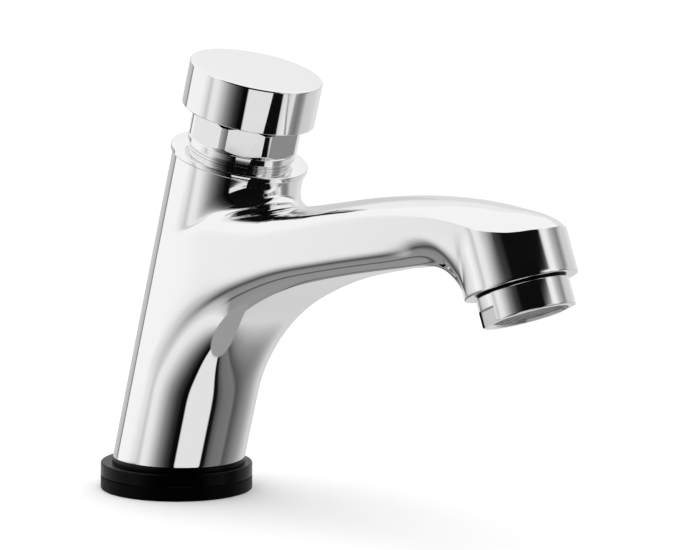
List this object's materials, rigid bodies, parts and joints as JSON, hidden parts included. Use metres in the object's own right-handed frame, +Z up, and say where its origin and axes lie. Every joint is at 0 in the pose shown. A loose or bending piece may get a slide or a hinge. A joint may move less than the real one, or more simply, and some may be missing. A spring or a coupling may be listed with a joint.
{
  "type": "self-closing basin tap",
  "caption": "Push-button self-closing basin tap: leaning round column, curved tapering spout with a tilted outlet ring, faceted bonnet and round press cap on a black base ring.",
  "frame": {"origin": "centre of the deck hole, on the deck: the underside of the gasket, on the shank's axis", "axes": "+X the way the spout reaches, +Z up from the deck, +Y to the left of the spout seen from behind the tap"},
  "size_m": [0.1829, 0.047, 0.1883],
  "materials": {
    "chrome": "polished chrome plate on brass",
    "brass": "turned, as machined",
    "stainless": "stainless steel, drawn or turned",
    "black_plastic": "moulded black plastic, satin",
    "black_rubber": "moulded black rubber, satin",
    "white_plastic": "moulded white plastic",
    "grey_plastic": "moulded grey plastic"
  },
  "bodies": {
    "tap": {"body": "chrome", "bonnet": "chrome", "aerator_housing": "chrome", "bonnet_washer": "chrome", "base_ring": "black_plastic", "gasket": "black_rubber", "rubber_washer": "black_rubber", "bonnet_oring": "black_rubber", "stem_oring": "black_rubber", "sleeve_seal": "black_rubber", "aerator_washer": "black_rubber", "guide_bush": "white_plastic", "cartridge_sleeve": "white_plastic", "aerator_insert": "grey_plastic", "gland_clip": "stainless", "return_spring": "stainless", "steel_washer": "stainless", "aerator_screen": "stainless", "inlet_strainer": "white_plastic", "valve_seat": "brass", "shank": "brass", "backnut": "brass"},
    "press": {"push_button": "chrome", "lock_nut": "brass", "stem": "stainless", "piston_clip": "stainless", "piston": "white_plastic", "piston_seal": "black_rubber", "poppet": "brass", "valve_washer": "black_rubber", "tail_nut": "brass"}
  },
  "joints": [
    {"name": "button_press", "type": "slide", "parent": "tap", "child": "press", "axis": [-0.2756, 0, -0.9613], "range_m": [0, 0.008], "stiffness_N_per_m": 1500, "springref_m": -0.008, "deforming": ["return_spring"]}
  ]
}
